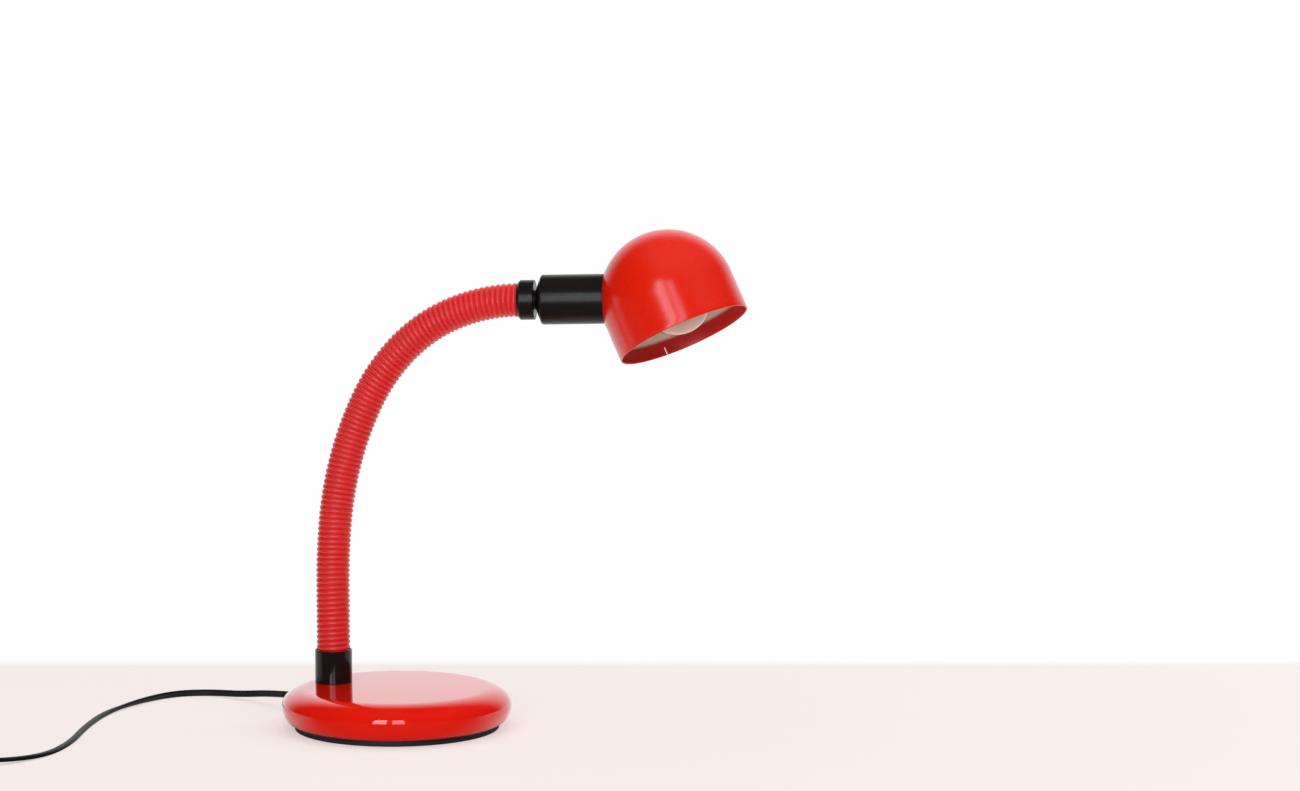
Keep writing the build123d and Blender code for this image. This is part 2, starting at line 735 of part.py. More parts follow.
# the waist is a fillet between ball and neck, at its widest where it ends at the cap's mouth
waist_room = bulb_middle - bulb_cap_mouth - fit_gap
widest_waist = (bulb_neck_radius**2 + waist_room**2 - bulb_radius**2) / (
    2 * (bulb_radius - bulb_neck_radius)
)
least_angle = degrees(asin(waist_room / (bulb_radius + widest_waist)))
shoulder_angle = max(bulb_shoulder_angle, least_angle)


def bulb_outline(radius, neck):
    """Half outline of the glass: round end, waist curve and straight neck."""
    shoulder = radians(shoulder_angle)
    waist = (radius * cos(shoulder) - neck) / (1 - cos(shoulder))
    waist_end = bulb_middle - (radius + waist) * sin(shoulder)
    with BuildLine() as outline:
        CenterArc((0, bulb_middle), radius, -shoulder_angle, 90 + shoulder_angle)
        CenterArc((neck + waist, waist_end), waist, 180 - shoulder_angle, shoulder_angle)
        Polyline((neck, waist_end), (neck, glass_end), (0, glass_end), (0, bulb_middle + radius))
    return outline


with BuildPart() as bulb_glass:
    with BuildSketch(head_section):
        add(bulb_outline(bulb_radius, bulb_neck_radius).line)
        make_face()
    revolve(axis=head_axis)
    with BuildSketch(head_section):
        add(bulb_outline(bulb_radius - bulb_wall, bulb_neck_radius - bulb_wall).line)
        make_face()
    revolve(axis=head_axis, mode=Mode.SUBTRACT)
save(bulb_glass.part, "bulb_glass")

with BuildPart() as bulb_cap:
    with BuildSketch(head_frame.offset(bulb_cap_bottom)):
        Circle(bulb_cap_radius)
    extrude(amount=bulb_cap_height)
    with BuildSketch(head_frame.offset(bulb_cap_bottom + screw_shell_wall)):
        Circle(bulb_neck_radius + fit_gap)
    extrude(amount=bulb_cap_height, mode=Mode.SUBTRACT)
save(bulb_cap.part, "bulb_cap")

with BuildPart() as bulb_base_contact:
    with BuildSketch(head_frame.offset(bulb_cap_bottom)):
        Circle(bulb_insulator_radius)
    with BuildSketch(head_frame.offset(bulb_bottom + screw_shell_wall)):
        Circle(bulb_contact_radius)
    loft()
    with BuildSketch(head_frame.offset(bulb_bottom)):
        Circle(bulb_contact_radius)
    extrude(amount=screw_shell_wall)
save(bulb_base_contact.part, "bulb_base_contact")

# ---- mains cord: route along the table, in-line switch, coil and plug -------------------
switch_frame = Plane(
    origin=(switch_x, switch_y, 0),
    x_dir=(cos(radians(switch_heading)), sin(radians(switch_heading)), 0),
    z_dir=(0, 0, 1),
)
switch_in = switch_frame.from_local_coords((-switch_length / 2, 0, switch_split_height))
switch_out = switch_frame.from_local_coords((switch_length / 2, 0, switch_split_height))
boot_end = exit_frame.from_local_coords((0, 0, boot_tip))
plug_frame = Plane(
    origin=(plug_x, plug_y, plug_front_height / 2),
    x_dir=(-sin(radians(plug_heading)), cos(radians(plug_heading)), 0),
    z_dir=(cos(radians(plug_heading)), sin(radians(plug_heading)), 0),
)

main_route = (
    boot_end,
    (-108, 96, 9.0),
    (-133, 117, 4.2),
    (-159, 133, cord_height),
    (-188, 128, cord_height),
    (-213, 96, cord_height),
    (-235, 52, cord_height),
    (-244, -10, cord_height),
    (-247, -70, cord_height),
    (-259, -118, cord_height),
    (-284, -146, 3.2),
    switch_in,
)
tail_route = (
    switch_out,
    (-379, -195, 4.6),
    (-387.5, -214, 3.9),
    (-387.4, -240, 3.9),
)
plug_route = (
    (-381, -260.3, 9.3),
    (-373.5, -273.5, 8.4),
    plug_frame.origin,
)


def cord_tube(route, name):
    """Round cord along straight runs joined by the largest arcs that the runs allow."""
    points = [Vector(*point) if isinstance(point, tuple) else point for point in route]
    runs = [after - before for before, after in zip(points, points[1:])]
    radii = [
        cord_run_fillet * min(one.length, two.length) / tan(radians(one.get_angle(two)) / 2)
        for one, two in zip(runs, runs[1:])
    ]
    with BuildPart() as tube:
        with BuildLine() as line:
            FilletPolyline(*points, radius=radii)
        with BuildSketch(Plane(origin=line.line @ 0, z_dir=line.line % 0)):
            Circle(cord_radius)
        sweep(path=line.line)
    length = line.wires()[0].length
    print(name, "radii", [round(radius, 1) for radius in radii], "length", round(length, 1),
          "volume share", round(tube.part.volume / (pi * cord_radius**2 * length), 4))
    save(tube.part, name)


cord_tube(main_route, "mains_cord")
cord_tube(tail_route, "switch_tail_cord")
cord_tube(plug_route, "plug_lead_cord")

# The spare length is wound into a ring of turns that lie beside and on each other.
coil_width = 2 * cord_radius * coil_columns
coil_height = 2 * cord_radius * coil_layers
coil_plane = Plane(origin=(coil_x, coil_y, 0))
coil_frame = coil_plane.offset(tie_thickness + coil_height / 2)
with BuildPart() as cord_coil:
    with BuildSketch(section_plane(coil_frame)):
        with Locations((coil_mid_radius, 0)):
            RectangleRounded(coil_width, coil_height, coil_rounding)
    revolve(axis=Axis(coil_frame.origin, coil_frame.z_dir))
save(cord_coil.part, "cord_coil")

with BuildPart() as coil_tie:
    with BuildSketch(section_plane(coil_frame.rotated((0, 0, tie_angle)))):
        with Locations((coil_mid_radius, 0)):
            RectangleRounded(coil_width + 2 * tie_thickness, coil_height + 2 * tie_thickness, cord_radius)
            RectangleRounded(coil_width + 2 * play, coil_height + 2 * play, coil_rounding,
                             mode=Mode.SUBTRACT)
    extrude(amount=tie_width / 2, both=True)
save(coil_tie.part, "coil_tie")

# ---- in-line switch ---------------------------------------------------------------------
rocker_pin_height = switch_height - rocker_pin_below
switch_section = Plane(
    origin=switch_frame.from_local_coords((0, 0, rocker_pin_height)),
    x_dir=switch_frame.x_dir, z_dir=switch_frame.x_dir.cross(Vector(0, 0, 1)),
)
ear_place = rocker_width / 2 + rocker_gap

with BuildPart() as switch_base:
    with BuildSketch(switch_frame):
        RectangleRounded(switch_length, switch_width, switch_rounding)
    extrude(amount=switch_split_height)
    fillet(switch_base.edges().group_by(Axis.Z)[0], switch_wall / 2)
    with BuildSketch(switch_frame.offset(switch_wall)):
        RectangleRounded(switch_length - 2 * switch_wall, switch_width - 2 * switch_wall,
                         switch_rounding - switch_wall)
    extrude(amount=switch_split_height, mode=Mode.SUBTRACT)
save(switch_base.part, "switch_base")

with BuildPart() as switch_cover:
    with BuildSketch(switch_frame.offset(switch_split_height)):
        RectangleRounded(switch_length, switch_width, switch_rounding)
    extrude(amount=switch_height - switch_split_height)
    fillet(switch_cover.edges().group_by(Axis.Z)[-1], switch_wall)
    with BuildSketch(switch_frame.offset(switch_split_height)):
        RectangleRounded(switch_length - 2 * switch_wall, switch_width - 2 * switch_wall,
                         switch_rounding - switch_wall)
    extrude(amount=switch_height - switch_split_height - switch_wall, mode=Mode.SUBTRACT)
    with BuildSketch(switch_frame.offset(switch_height)):
        Rectangle(rocker_length + 2 * rocker_gap, rocker_width + 2 * rocker_gap)
    extrude(amount=-2 * switch_wall, mode=Mode.SUBTRACT)
    with BuildSketch(switch_frame.offset(switch_height - switch_wall)):
        with GridLocations(0, 2 * ear_place + rocker_ear_thickness, 1, 2):
            Rectangle(rocker_ear_length, rocker_ear_thickness)
    extrude(amount=-rocker_pin_below)
    with BuildSketch(switch_section):
        Circle(rocker_pin_radius + running_gap)
    extrude(amount=switch_width / 2 - switch_wall, both=True, mode=Mode.SUBTRACT)
save(switch_cover.part, "switch_cover")

rocker_section = Plane(
    origin=switch_section.origin,
    x_dir=switch_section.x_dir.rotate(Axis((0, 0, 0), switch_section.z_dir), -rocker_tilt),
    z_dir=switch_section.z_dir,
)
with BuildPart() as switch_rocker:
    with BuildSketch(rocker_section):
        Circle(rocker_length / 2)
        with Locations((0, rocker_depth / 4)):
            Rectangle(rocker_length, rocker_depth, mode=Mode.INTERSECT)
    extrude(amount=rocker_width / 2, both=True)
    fillet(switch_rocker.edges().filter_by(Axis(switch_section.origin, switch_section.z_dir)).sort_by(
        Axis.Z)[-2:], rocker_gap)
    with BuildSketch(switch_section):
        Circle(rocker_pin_radius)
    extrude(amount=ear_place + rocker_ear_thickness, both=True)
save(switch_rocker.part, "switch_rocker")

# ---- flat two-pin plug ------------------------------------------------------------------
with BuildPart() as plug_body:
    with BuildSketch(plug_frame):
        RectangleRounded(plug_back_width, plug_back_height, plug_back_height / 3)
    with BuildSketch(plug_frame.offset(plug_waist_place)):
        RectangleRounded(plug_waist_width, plug_front_height, plug_front_height / 3)
    with BuildSketch(plug_frame.offset(plug_length)):
        RectangleRounded(plug_front_width, plug_front_height, plug_front_height / 3)
    loft()
    with BuildSketch(plug_frame.offset(plug_length)):
        with GridLocations(plug_pin_spacing, 0, 2, 1):
            Circle(plug_pin_radius)
    extrude(amount=-plug_pin_root, mode=Mode.SUBTRACT)
save(plug_body.part, "plug_body")

with BuildPart() as plug_pins:
    with BuildSketch(plug_frame.offset(plug_length - plug_pin_root)):
        with GridLocations(plug_pin_spacing, 0, 2, 1):
            Circle(plug_pin_radius)
    extrude(amount=plug_pin_root + plug_pin_length)
    fillet(plug_pins.edges().group_by(Axis(plug_frame.origin, plug_frame.z_dir))[-1], plug_pin_radius / 2)
save(plug_pins.part, "plug_pins")
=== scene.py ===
"""Gooseneck desk lamp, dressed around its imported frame. Metres, +Z up, the neck bends towards +X."""
import json
from math import atan2, cos, pi, radians, sin, sqrt, tan
import bmesh
import bpy
from mathutils import Matrix, Vector


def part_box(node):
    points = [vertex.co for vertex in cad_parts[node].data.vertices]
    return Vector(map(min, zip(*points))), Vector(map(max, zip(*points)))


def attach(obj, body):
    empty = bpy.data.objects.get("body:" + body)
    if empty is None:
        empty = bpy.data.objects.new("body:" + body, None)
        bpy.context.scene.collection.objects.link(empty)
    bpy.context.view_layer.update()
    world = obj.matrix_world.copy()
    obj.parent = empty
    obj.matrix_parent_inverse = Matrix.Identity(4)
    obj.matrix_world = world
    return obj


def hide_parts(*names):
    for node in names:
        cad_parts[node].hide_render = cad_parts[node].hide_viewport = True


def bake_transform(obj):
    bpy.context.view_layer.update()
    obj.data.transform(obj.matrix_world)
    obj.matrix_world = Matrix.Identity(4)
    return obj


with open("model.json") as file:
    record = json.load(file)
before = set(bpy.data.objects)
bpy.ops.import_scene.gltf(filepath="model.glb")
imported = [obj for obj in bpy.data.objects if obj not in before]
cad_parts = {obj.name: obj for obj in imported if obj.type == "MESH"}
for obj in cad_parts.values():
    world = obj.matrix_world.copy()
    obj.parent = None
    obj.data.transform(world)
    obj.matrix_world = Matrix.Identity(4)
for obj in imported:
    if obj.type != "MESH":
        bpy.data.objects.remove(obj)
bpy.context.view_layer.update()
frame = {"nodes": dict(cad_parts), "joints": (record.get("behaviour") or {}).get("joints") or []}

# ---- Stage -----------------------------------------------------------------------
# A pale floor that runs out into a white surround, two window panes in front and a wide soft
# light overhead. The room in front is dim in reflections. None of it belongs to the lamp.
scene = bpy.context.scene
scene.view_settings.view_transform = "Standard"

camera_data = bpy.data.cameras.new("camera")
camera_data.sensor_width = 36.0
camera_data.lens = 124.6
camera = bpy.data.objects.new("camera", camera_data)
camera.location = (0.1984, -3.474, 0.678)
camera.rotation_euler = (radians(90 - 6.83), 0, 0)
scene.collection.objects.link(camera)
scene.camera = camera

world = bpy.data.worlds.new("surround")
world.use_nodes = True
scene.world = world
tree = world.node_tree
plain = tree.nodes["Background"]
seen = tree.nodes.new("ShaderNodeBackground")
mirrored = tree.nodes.new("ShaderNodeBackground")
plain.inputs["Color"].default_value = (0.99, 0.985, 1.0, 1)
plain.inputs["Strength"].default_value = 0.12
seen.inputs["Color"].default_value = (1.0, 0.992, 1.0, 1)
seen.inputs["Strength"].default_value = 1.0
mirrored.inputs["Color"].default_value = (1.0, 0.985, 1.0, 1)
light_path = tree.nodes.new("ShaderNodeLightPath")
direction = tree.nodes.new("ShaderNodeTexCoord")
split = tree.nodes.new("ShaderNodeSeparateXYZ")
room = tree.nodes.new("ShaderNodeMapRange")
room.interpolation_type = "SMOOTHSTEP"
room.inputs["From Min"].default_value = 0.45
room.inputs["From Max"].default_value = 0.88
room.inputs["To Min"].default_value = 0.03
room.inputs["To Max"].default_value = 1.0
tree.links.new(direction.outputs["Generated"], split.inputs["Vector"])
tree.links.new(split.outputs["Y"], room.inputs["Value"])
tree.links.new(room.outputs["Result"], mirrored.inputs["Strength"])
glossy_or_not = tree.nodes.new("ShaderNodeMixShader")
tree.links.new(light_path.outputs["Is Glossy Ray"], glossy_or_not.inputs["Fac"])
tree.links.new(plain.outputs["Background"], glossy_or_not.inputs[1])
tree.links.new(mirrored.outputs["Background"], glossy_or_not.inputs[2])
straight = tree.nodes.new("ShaderNodeMath")
straight.operation = "MAXIMUM"
tree.links.new(light_path.outputs["Is Camera Ray"], straight.inputs[0])
tree.links.new(light_path.outputs["Is Transmission Ray"], straight.inputs[1])
camera_or_not = tree.nodes.new("ShaderNodeMixShader")
tree.links.new(straight.outputs["Value"], camera_or_not.inputs["Fac"])
tree.links.new(glossy_or_not.outputs["Shader"], camera_or_not.inputs[1])
tree.links.new(seen.outputs["Background"], camera_or_not.inputs[2])
tree.links.new(camera_or_not.outputs["Shader"], tree.nodes["World Output"].inputs["Surface"])


def lamp(name, place, aim, width, height, power, colour):
    """A rectangular soft light that faces a point."""
    data = bpy.data.lights.new(name, "AREA")
    data.shape = "RECTANGLE"
    data.size = width
    data.size_y = height
    data.energy = power
    data.color = colour
    light = bpy.data.objects.new(name, data)
    light.location = place
    light.rotation_euler = (Vector(aim) - Vector(place)).to_track_quat("-Z", "Y").to_euler()
    scene.collection.objects.link(light)
    return light


pane_height = 3.1
pane_middle = 1.6
above_neck = (0.05, 0.0, pane_middle)
lamp("window_left", (-1.02, -4.07, pane_middle), above_neck, 1.0, pane_height, 62.0, (0.88, 0.94, 1.0))
lamp("window_right", (0.33, -4.19, pane_middle), above_neck, 0.9, pane_height, 44.0, (0.74, 0.85, 1.0))
overhead = lamp("overhead", (0.7, 0.0, 2.6), (0.15, 0.0, 0.2), 4.5, 4.5, 106.0, (1.0, 0.99, 0.98))
overhead.visible_glossy = False

floor_half = 40.0
bm = bmesh.new()
bmesh.ops.create_grid(bm, x_segments=2, y_segments=2, size=floor_half)
floor_mesh = bpy.data.meshes.new("floor")
bm.to_mesh(floor_mesh)
bm.free()
floor = bpy.data.objects.new("floor", floor_mesh)
scene.collection.objects.link(floor)

floor_paint = bpy.data.materials.new("floor_paint")
floor_paint.use_nodes = True
tree = floor_paint.node_tree
painted = tree.nodes["Principled BSDF"]
painted.inputs["Base Color"].default_value = (0.94, 0.865, 0.84, 1)
painted.inputs["Roughness"].default_value = 0.8
painted.inputs["Specular IOR Level"].default_value = 0.1
bright = tree.nodes.new("ShaderNodeEmission")
bright.inputs["Color"].default_value = (1.0, 0.992, 1.0, 1)
dim = tree.nodes.new("ShaderNodeEmission")
dim.inputs["Color"].default_value = (0.9, 0.8, 0.76, 1)
dim.inputs["Strength"].default_value = 0.12
floor_path = tree.nodes.new("ShaderNodeLightPath")
spot = tree.nodes.new("ShaderNodeTexCoord")
apart = tree.nodes.new("ShaderNodeVectorMath")
apart.operation = "LENGTH"
tree.links.new(spot.outputs["Object"], apart.inputs[0])
sides = tree.nodes.new("ShaderNodeSeparateXYZ")
tree.links.new(spot.outputs["Object"], sides.inputs["Vector"])


def fade(source, start, end):
    """Rises smoothly from 0 to 1 between two distances."""
    ramp = tree.nodes.new("ShaderNodeMapRange")
    ramp.interpolation_type = "SMOOTHSTEP"
    ramp.inputs["From Min"].default_value = start
    ramp.inputs["From Max"].default_value = end
    tree.links.new(source, ramp.inputs["Value"])
    return ramp.outputs["Result"]


def combine(operation, one, two):
    """The product or the larger of two factors."""
    node = tree.nodes.new("ShaderNodeMath")
    node.operation = operation
    tree.links.new(one, node.inputs[0])
    tree.links.new(two, node.inputs[1])
    return node.outputs["Value"]


def blend_shaders(factor, one, two):
    """Goes from one shader to the other as the factor rises."""
    node = tree.nodes.new("ShaderNodeMixShader")
    tree.links.new(factor, node.inputs["Fac"])
    tree.links.new(one, node.inputs[1])
    tree.links.new(two, node.inputs[2])
    return node.outputs["Shader"]


tabletop = tree.nodes.new("ShaderNodeEmission")
tabletop.inputs["Color"].default_value = (0.94, 0.855, 0.825, 1)
run_out = fade(apart.outputs["Value"], 0.5, 1.5)
far_edge = fade(sides.outputs["Y"], 0.265, 0.295)
far_away = combine("MAXIMUM", run_out, far_edge)
camera_ray = floor_path.outputs["Is Camera Ray"]
glossy_ray = floor_path.outputs["Is Glossy Ray"]
looked_at = combine("MAXIMUM", camera_ray, floor_path.outputs["Is Transmission Ray"])
mirrored_back = combine("MULTIPLY", glossy_ray, fade(sides.outputs["Y"], 0.0, 0.3))
mirrored_front = combine("MULTIPLY", glossy_ray, fade(sides.outputs["Y"], -0.02, -0.09))
glow = tree.nodes.new("ShaderNodeMath")
glow.operation = "MULTIPLY"
glow.inputs[1].default_value = 0.6
tree.links.new(looked_at, glow.inputs[0])
lit = blend_shaders(glow.outputs["Value"], painted.outputs["BSDF"], tabletop.outputs["Emission"])
lit = blend_shaders(combine("MULTIPLY", far_away, looked_at), lit, bright.outputs["Emission"])
lit = blend_shaders(mirrored_back, lit, bright.outputs["Emission"])
lit = blend_shaders(mirrored_front, lit, dim.outputs["Emission"])
tree.links.new(lit, tree.nodes["Material Output"].inputs["Surface"])
floor_mesh.materials.append(floor_paint)

# ---- Mains cord ------------------------------------------------------------------
# Black flat twin cord, two cores side by side under one PVC sheath. It leaves the boot on edge,
# lies flat where it runs off, and its spare length is wound into a coil beside the plug.
cord_width = 0.0054
cord_thickness = 0.0032
core_offset = (cord_width - cord_thickness) / 2
on_edge = cord_width / 2
flat = cord_thickness / 2
edgeways = radians(90)

switch_place = Vector((-0.338, -0.174, 0.006))
switch_heading = Vector((cos(radians(205)), sin(radians(205)), 0))
switch_half = 0.028
boot_tip = Vector((0.117 * cos(radians(140)), 0.117 * sin(radians(140)), 0.0115))
plug_back = Vector((-0.3638, -0.2849, 0.0068))

main_route = [
    boot_tip,
    (-0.108, 0.096, 0.009),
    (-0.133, 0.117, 0.0042),
    (-0.159, 0.133, on_edge),
    (-0.188, 0.128, on_edge),
    (-0.213, 0.096, on_edge),
    (-0.235, 0.052, flat),
    (-0.244, -0.010, flat),
    (-0.247, -0.070, flat),
    (-0.259, -0.118, flat),
    (-0.284, -0.146, 0.0032),
]
main_twist = [edgeways] * 4 + [0.9 * edgeways, 0.5 * edgeways] + [0.0] * 5
switch_route = [switch_place + switch_heading * (switch_half * step) for step in (-1, 0, 1)]
tail_route = [(-0.379, -0.195, 0.0046), (-0.3875, -0.214, 0.0039)]

coil_centre = Vector((-0.351, -0.240, 0))
coil_radius = 0.031
layer_turns = 3
coil_turns = 2 * layer_turns
climb_turns = 0.2
coil_low = 0.0012 + on_edge
points_per_turn = 16
coil_route = []
coil_steps = coil_turns * points_per_turn + 2
for step in range(coil_steps + 1):
    turn = step / points_per_turn
    layer = min(max((turn - layer_turns + climb_turns / 2) / climb_turns, 0), 1)
    column = min(abs(turn / layer_turns - 1), 1)
    radius = coil_radius + cord_width * (2 * column - 1)
    angle = pi + 2 * pi * turn
    height = coil_low + cord_width * layer
    coil_route.append(coil_centre + Vector((radius * cos(angle), radius * sin(angle), height)))
plug_route = [(-0.3735, -0.2735, 0.0084), plug_back]

route = main_route + switch_route + tail_route + coil_route + plug_route
coil_twist = [edgeways] * len(coil_route)
twist = main_twist + [0.0] * 3 + [0.5 * edgeways, edgeways] + coil_twist + [0.5 * edgeways, 0.0]

cord_curve = bpy.data.curves.new("cord_line", "CURVE")
cord_curve.dimensions = "3D"
cord_curve.twist_mode = "Z_UP"
cord_spline = cord_curve.splines.new("NURBS")
cord_spline.points.add(len(route) - 1)
for point, place, turn in zip(cord_spline.points, route, twist):
    point.co = (*place, 1.0)
    point.tilt = turn
cord_spline.order_u = 3
cord_spline.use_endpoint_u = True
cord_curve.resolution_u = 6
cord_line = bpy.data.objects.new("cord_line", cord_curve)
scene.collection.objects.link(cord_line)
line_mesh = bpy.data.meshes.new_from_object(cord_line)
cord_path = [vertex.co.copy() for vertex in line_mesh.vertices]

section_curve = bpy.data.curves.new("cord_section", "CURVE")
section_spline = section_curve.splines.new("POLY")
lobe = [radians(-125 + 250 * step / 12) for step in range(13)]
section = [(core_offset + flat * cos(a), flat * sin(a)) for a in lobe]
section += [(-x, -y) for x, y in section]
section_spline.points.add(len(section) - 1)
for point, (x, y) in zip(section_spline.points, section):
    point.co = (x, y, 0, 1)
section_spline.use_cyclic_u = True
cord_section = bpy.data.objects.new("cord_section", section_curve)
scene.collection.objects.link(cord_section)
cord_curve.bevel_mode = "OBJECT"
cord_curve.bevel_object = cord_section
cord_curve.use_fill_caps = True
bpy.context.view_layer.update()
cord_mesh = bpy.data.meshes.new_from_object(cord_line.evaluated_get(bpy.context.evaluated_depsgraph_get()))
bpy.data.objects.remove(cord_line)
bpy.data.objects.remove(cord_section)


def tidy_mesh(bm, mesh):
    """Merges doubles, turns the faces outwards and writes the mesh smooth."""
    bmesh.ops.remove_doubles(bm, verts=bm.verts, dist=1e-6)
    bmesh.ops.recalc_face_normals(bm, faces=bm.faces)
    for face in bm.faces:
        face.smooth = True
    bm.to_mesh(mesh)
    bm.free()


bm = bmesh.new()
bm.from_mesh(cord_mesh)
tidy_mesh(bm, cord_mesh)
cord = bpy.data.objects.new("mains_flex", cord_mesh)
scene.collection.objects.link(cord)


def finish(name, colour, shade, patch, smooth, rough, grain=0.0005, depth=0.0, metal=0.0, ior=1.5):
    """A surface whose colour and gloss drift in patches, with a fine grain raised where it has depth."""
    material = bpy.data.materials.new(name)
    material.use_nodes = True
    nodes, links = material.node_tree.nodes, material.node_tree.links
    shader = nodes["Principled BSDF"]
    shader.inputs["Metallic"].default_value = metal
    shader.inputs["IOR"].default_value = ior
    place = nodes.new("ShaderNodeTexCoord")
    sizes = {"patches": patch, "wear": patch / 7, "grain": grain}
    noise = {}
    for use, size in sizes.items():
        noise[use] = nodes.new("ShaderNodeTexNoise")
        noise[use].inputs["Scale"].default_value = 1 / size
        noise[use].inputs["Detail"].default_value = 4.0
        links.new(place.outputs["Object"], noise[use].inputs["Vector"])
    tint = nodes.new("ShaderNodeMix")
    tint.data_type = "RGBA"
    tint.inputs[6].default_value = (*colour, 1)
    tint.inputs[7].default_value = (*(c * shade for c in colour), 1)
    links.new(noise["patches"].outputs["Fac"], tint.inputs[0])
    links.new(tint.outputs[2], shader.inputs["Base Color"])
    gloss = nodes.new("ShaderNodeMapRange")
    gloss.inputs["From Min"].default_value = 0.35
    gloss.inputs["From Max"].default_value = 0.65
    gloss.inputs["To Min"].default_value = smooth
    gloss.inputs["To Max"].default_value = rough
    links.new(noise["wear"].outputs["Fac"], gloss.inputs["Value"])
    links.new(gloss.outputs["Result"], shader.inputs["Roughness"])
    if depth:
        bump = nodes.new("ShaderNodeBump")
        bump.inputs["Distance"].default_value = depth
        links.new(noise["grain"].outputs["Fac"], bump.inputs["Height"])
        links.new(bump.outputs["Normal"], shader.inputs["Normal"])
    return material


def dress(material, *names):
    """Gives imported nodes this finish."""
    for name in names:
        mesh = frame["nodes"][name].data
        mesh.materials.clear()
        mesh.materials.append(material)


sheath_black = (0.008, 0.0065, 0.0065)
cord_sheath = finish("black_pvc_sheath", sheath_black, 0.6, 0.02, 0.40, 0.5, 0.0008, 0.00001, ior=1.3)
cord_mesh.materials.clear()
cord_mesh.materials.append(cord_sheath)
dress(cord_sheath, "inner_mains_lead")
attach(cord, "base")
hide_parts("mains_cord", "switch_tail_cord", "cord_coil", "plug_lead_cord")

# ---- On the cord: boot, rocker switch, coil tie and plug -------------------------
# Moulded black plastic and rubber pieces. The tie is a twist of coated wire round the coil, and
# the plug's two round pins are brass.
moulded = finish("moulded_black_plastic", (0.022, 0.021, 0.022), 0.7, 0.015, 0.38, 0.55, 0.0006, 0.00006)
rubber = finish("black_rubber", (0.02, 0.019, 0.02), 0.7, 0.01, 0.6, 0.8, 0.0007, 0.00008)
pin_brass = finish("pin_brass", (0.72, 0.53, 0.25), 0.8, 0.006, 0.16, 0.34, 0.0004, 0.00001, 1.0)
dress(moulded, "switch_base", "switch_cover", "switch_rocker", "plug_body", "coil_tie")
dress(rubber, "cord_boot")
dress(pin_brass, "plug_pins")
path_length = sum((b - a).length for a, b in zip(cord_path, cord_path[1:]))
print("cord path length", round(path_length, 4))

# ---- Base cover ------------------------------------------------------------------
# Pressed steel under red stoved enamel: a flat top, a fat rolled edge and a lip turned in below.
base_radius = 0.090
base_top = 0.0319
base_widest = 0.0187
flat_radius = 0.070
foot_radius = 0.0797
plate_top = 0.0044
cover_wall = 0.0015
lip_width = 0.0038


def quarter(centre, across, up, start, steps=20):
    """Points of a quarter ellipse, from its start angle round to a right angle past it."""
    angles = [radians(start + 90 * step / steps) for step in range(steps + 1)]
    return [(centre[0] + across * cos(a), centre[1] + up * sin(a)) for a in angles]


def turned(name, outline, steps=128, place=Matrix.Identity(4), closed=True, bevel=0.0):
    """Spins an outline of (radius, height) points about local Z and moves it into its place."""
    bm = bmesh.new()
    vertices = [bm.verts.new((radius, 0, height)) for radius, height in outline]
    edges = [bm.edges.new(pair) for pair in zip(vertices, vertices[1:])]
    if closed:
        edges.append(bm.edges.new((vertices[-1], vertices[0])))
    bmesh.ops.spin(
        bm, geom=vertices + edges, cent=(0, 0, 0), axis=(0, 0, 1),
        angle=2 * pi, steps=steps, use_merge=True,
    )
    bmesh.ops.transform(bm, matrix=place, verts=bm.verts)
    mesh = bpy.data.meshes.new(name)
    bmesh.ops.remove_doubles(bm, verts=bm.verts, dist=1e-7)
    bmesh.ops.dissolve_degenerate(bm, edges=bm.edges, dist=1e-7)
    tidy_mesh(bm, mesh)
    piece = bpy.data.objects.new(name, mesh)
    scene.collection.objects.link(piece)
    if bevel:
        rounding = piece.modifiers.new("rounding", "BEVEL")
        rounding.width = bevel
        rounding.segments = 3
        rounding.limit_method = "ANGLE"
        rounding.angle_limit = radians(25)
        rounding.harden_normals = True
    return piece


roll_across = base_radius - flat_radius
roll_up = base_top - base_widest
under_across = base_radius - foot_radius
under_up = base_widest - plate_top
outer = quarter((foot_radius, base_widest), under_across, under_up, 270)
outer += quarter((flat_radius, base_widest), roll_across, roll_up, 0)[1:]
inner = quarter((foot_radius, base_widest), under_across - cover_wall, under_up - cover_wall, 270)
inner += quarter((flat_radius, base_widest), roll_across - cover_wall, roll_up - cover_wall, 0)[1:]
lip = [(foot_radius - lip_width, plate_top + cover_wall), (foot_radius - lip_width, plate_top)]
cover_outline = [(0, base_top - cover_wall)] + inner[::-1] + lip + outer + [(0, base_top)]
cover = turned("base_shell", cover_outline, closed=False)


def enamel(name, colour, gloss, coat):
    """Stoved enamel: a red with faint orange peel under a clear top coat."""
    material = finish(name, colour, 0.93, 0.05, *gloss, 0.004, 0.000002)
    shader = material.node_tree.nodes["Principled BSDF"]
    shader.inputs["Specular IOR Level"].default_value = 0.1
    shader.inputs["Coat Weight"].default_value = coat
    shader.inputs["Coat Roughness"].default_value = 0.035
    shader.inputs["Coat IOR"].default_value = 1.5
    return material


red_enamel = enamel("red_enamel", (0.76, 0.009, 0.0015), (0.08, 0.15), 1.0)
cover.data.materials.append(red_enamel)
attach(cover, "base")
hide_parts("base_cover")

